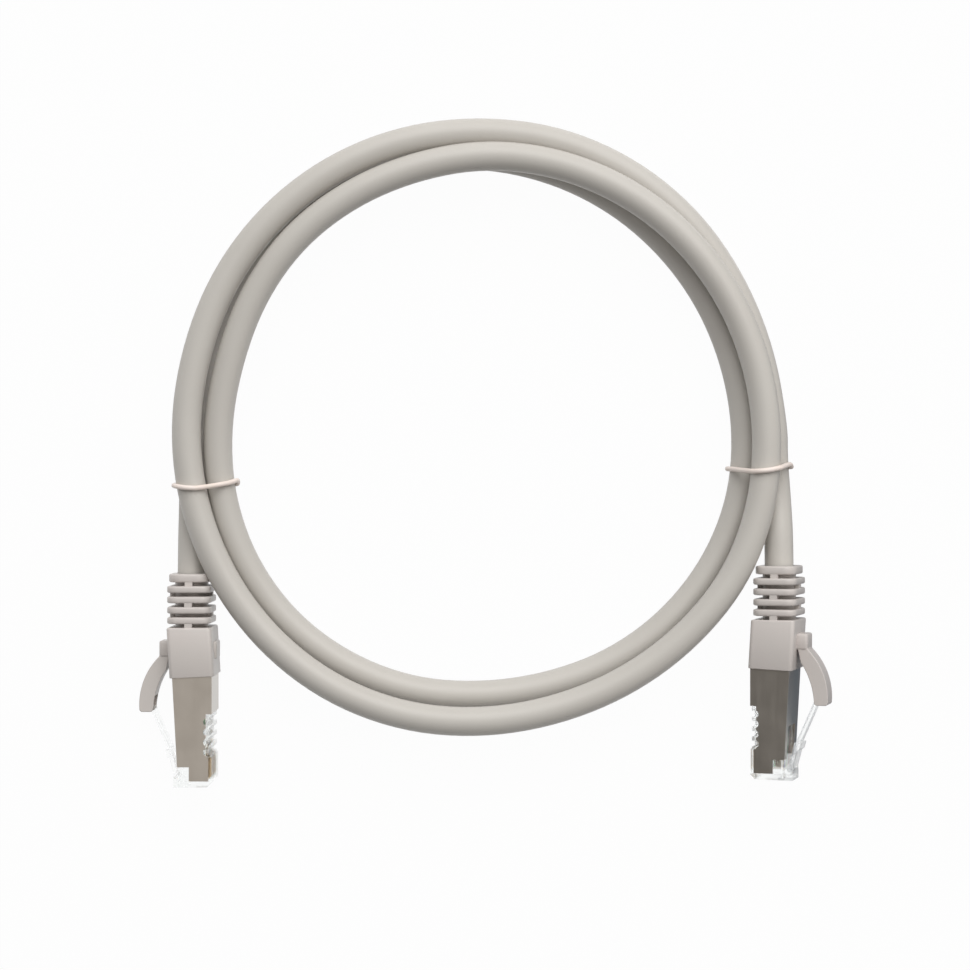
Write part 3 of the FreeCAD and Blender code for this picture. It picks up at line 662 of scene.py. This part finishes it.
def bootRibs(bm):  # the ribs from the node tree, and the collar behind them
    rib = ribMesh("rib", boot["ribHalfWidth"], boot["ribHalfHeight"], boot["ribCorner"],
                  boot["ribThickness"], boot["core"] - boot["ribSink"])
    ribs = stacked(meshObject("rib", rib), ribTree, Count=boot["ribs"] - 1, Pitch=ribPitch)
    ribs.transform(Matrix.Translation((lastRib, 0, 0)))
    bm.from_mesh(ribs)
    collar = ribMesh("collar", boot["collarHalfWidth"], boot["collarHalfHeight"], boot["collarCorner"],
                     boot["collarThickness"], boot["bore"])
    collar.transform(Matrix.Translation((lastRib - boot["ribGap"] - boot["collarThickness"], 0, 0)))
    bm.from_mesh(collar)


def makeBoot(plug):
    bm = bmesh.new()
    bootBody(bm)
    bootWebs(bm)
    bootBlocks(bm)
    bootRibs(bm)
    bm.transform(plug.matrix())
    name = "boot" + plug.letter.upper()
    piece = meshObject(name, finishedMesh(bm, name, boot["smoothAngle"]), bootVinyl)
    return settle(piece, "root", "boot", "plug_%s_boot" % plug.letter)


# The plugs' pieces that keep their CAD shape: node, finish, eased edge in mm, its steps, body and slot

kept = {
    "lever": ("boot_lever", bootVinyl, 0.22, 3, "lever_{}", "boot"),
    "shield": ("shield", shieldMetal, 0.09, 2, "root", "shield_metal"),
    "housing": ("housing", clearPart, 0.08, 2, "root", "clear_plastic"),
    "latch": ("latch", clearTongue, 0.1, 2, "latch_{}", "clear_plastic"),
}
plugPieces = {}
for plug in (plugA, plugB):
    plugPieces[plug.letter] = [makeBoot(plug)]
    for name, (node, finish, edge, steps, body, slot) in kept.items():
        piece = softened("plug_%s_%s" % (plug.letter, node), name + plug.letter.upper(), finish, edge,
                         steps, body.format(plug.letter), slot)
        plugPieces[plug.letter].append(piece)


# Wires' visible ends, fanned from the cable into the contact row

wireEnds = {
    "diameter": 0.95, "rings": 3, "circle": 1.38, "pitch": 1.02, "row": -1.9, "stagger": 0.4,
    "tip": 1.9, "bend": 13.6, "run": 3.8, "inside": 29.0,
    "angles": [247.5, -67.5, 202.5, -22.5, 22.5, 157.5, 67.5, 112.5],  # round the cable, wires 1 to 8
}


def makeWireEnds(plug, flip, replacing):  # flip turns the circle over, as it is at the far plug
    made = []
    middle = (len(wireEnds["angles"]) + 1) / 2
    bend, run = wireEnds["bend"], wireEnds["run"]
    for number, angle in enumerate(wireEnds["angles"], 1):
        across = (number - middle) * wireEnds["pitch"]
        height = wireEnds["row"] + wireEnds["stagger"] * (1 if number % 2 == 0 else -1)
        circleY = wireEnds["circle"] * math.sin(math.radians(angle))
        circleZ = flip * wireEnds["circle"] * math.cos(math.radians(angle))
        route = [(-wireEnds["tip"], across, height), (-bend, across, height),
                 (-bend - run, across, circleZ), (-bend - 2 * run, circleY, circleZ),
                 (-wireEnds["inside"], circleY, circleZ)]
        piece = smoothLine("wireEnd%s%d" % (plug.letter.upper(), number),
                           [plug.point(*place) for place in route],
                           wireEnds["diameter"] / 2 * mm, wireEnds["rings"])
        piece.data.materials.append(insulation[number])
        nodes = ["wire_%d" % number] if replacing else []
        made.append(settle(piece, "root", "insulation_%d" % number, *nodes))
    return made


plugPieces["a"] += makeWireEnds(plugA, 1, replacing=True)
plugPieces["b"] += makeWireEnds(plugB, -1, replacing=False)
print("plugs dressed")


# Finishes on the CAD nodes that show as they are

def paint(node, material):
    target = frame["nodes"][node]
    target.data.materials.clear()
    target.data.materials.append(material)


for letter in "ab":
    paint("plug_%s_wire_guide" % letter, guidePart)
    for number in insulation:  # one contact for each wire
        paint("plug_%s_contact_%d" % (letter, number), contactGold)


plugBNodes = plugPieces["b"] + [tieLeft, tieRight]


# Stage, light and camera

view = {"distance": 450.0, "height": 460.65, "width": 194.0, "centre": (0.4, -11.5), "sensor": 36.0,
        "clipNear": 0.01, "clipFar": 20}
studio = {
    "floorSize": 1.5, "floorTone": 0.6, "floorRoughness": 0.7, "floorWhite": 0.97,
    # the next three values are the colour, the start in x (m) and the fade width of a painted reflection of shade
    # that metal sees in the floor beside plug B
    "paintedShade": (104, 111, 120), "paintedShadeFrom": 0.059, "paintedShadeFade": 0.004,
    "ambient": 0.46, "ambientLean": 0.36, "gloss": 0.68, "glossLean": 1.1, "horizon": 0.3,
    "overhead": (250, 241, 231), "skyline": (244, 249, 255),
    "key": 17.0, "keyPlace": (0.28, 0.93, 1.08), "keySize": (1.7, 1.2),
}
plainWhite = (1, 1, 1, 1)


def makeFloor():  # white to the camera; beside plug B, metal mirrors a painted reflection of shade, a dark patch that stands in for shaded floor
    bm = bmesh.new()
    bmesh.ops.create_grid(bm, x_segments=1, y_segments=1, size=studio["floorSize"])
    tone = studio["floorTone"]
    material, flow, shader = newMaterial("paleFloor", Base_Color=(tone, tone, tone, 1),
                                         Roughness=studio["floorRoughness"])
    rays = flow.make("ShaderNodeLightPath")
    glossy, through = rays.output("Is Glossy Ray"), rays.output("Is Transmission Ray")
    seen = (rays.output("Is Camera Ray") + glossy + through).clamped()
    across = flow.make("ShaderNodeSeparateXYZ", {"Vector": flow.make("ShaderNodeTexCoord", out="Object")})
    # painted reflection of shade: glossy rays that do not pass through glass see the floor dark from x = 0.059 m
    # on, beside plug B
    paintedShade = ((across - studio["paintedShadeFrom"]) * (1 / studio["paintedShadeFade"])).clamped()
    paintedShade = paintedShade * glossy * (1.0 - through)
    glowColour = blendColour(flow, paintedShade, plainWhite, linear(*studio["paintedShade"]))
    glow = flow.make("ShaderNodeEmission", {"Color": glowColour, "Strength": 1.0})
    plain = Flow(flow.tree, shader.outputs[0])
    mixed = flow.make("ShaderNodeMixShader", {0: seen * studio["floorWhite"], 1: plain, 2: glow})
    flow.tree.links.new(mixed.socket, flow.tree.nodes["Material Output"].inputs["Surface"])
    floor = meshObject("floor", finishedMesh(bm, "floor"), material)


def makeWorld():  # a studio that is lighter on the far side, and darker to the left in reflections
    world = bpy.data.worlds.new("studio")
    bpy.context.scene.world = world
    world.use_nodes = True
    flow = Flow(world.node_tree)
    rays = flow.make("ShaderNodeLightPath")
    gloss = rays.output("Is Glossy Ray")
    seen = rays.output("Is Camera Ray") + rays.output("Is Transmission Ray")
    heading = flow.make("ShaderNodeTexCoord", out="Generated")
    split = flow.make("ShaderNodeSeparateXYZ", {"Vector": heading})
    x, y, z = [split.output(axis) for axis in "XYZ"]
    low = (1.0 - z * (1 / studio["horizon"])).clamped()
    ceiling = (x * studio["glossLean"] + studio["gloss"]).clamped()
    mirrored = ceiling + (1.0 - ceiling) * low
    ambient = (y * studio["ambientLean"] + studio["ambient"]).clamped()
    level = (seen + gloss * mirrored + (1.0 - gloss - seen).clamped() * ambient).clamped()
    tint = blendColour(flow, low, linear(*studio["overhead"]), linear(*studio["skyline"]))
    background = world.node_tree.nodes["Background"]
    feed(flow, background, Strength=level, Color=blendColour(flow, gloss, plainWhite, tint))


def makeKey():  # one broad softbox on the far side, aimed at the coil
    lamp = bpy.data.lights.new("farSoftbox", "AREA")
    lamp.shape = "RECTANGLE"
    lamp.size, lamp.size_y = studio["keySize"]
    lamp.energy = studio["key"]
    piece = linked("farSoftbox", lamp)
    piece.location = studio["keyPlace"]
    piece.rotation_euler = (-Vector(studio["keyPlace"])).to_track_quat("-Z", "Y").to_euler()


def makeCamera():
    camera = bpy.data.cameras.new("camera")
    camera.sensor_width = view["sensor"]
    camera.lens = view["sensor"] * view["distance"] / view["width"]
    camera.clip_start = view["clipNear"]
    camera.clip_end = view["clipFar"]
    piece = linked("camera", camera)
    x, y = view["centre"]
    piece.location = Vector((coilCentre.x, coilCentre.y, 0)) + Vector((x, y, view["height"])) * mm
    bpy.context.scene.camera = piece


makeFloor()
makeWorld()
makeKey()
makeCamera()
bpy.context.scene.view_settings.view_transform = "Standard"
print("stage, light and camera set")
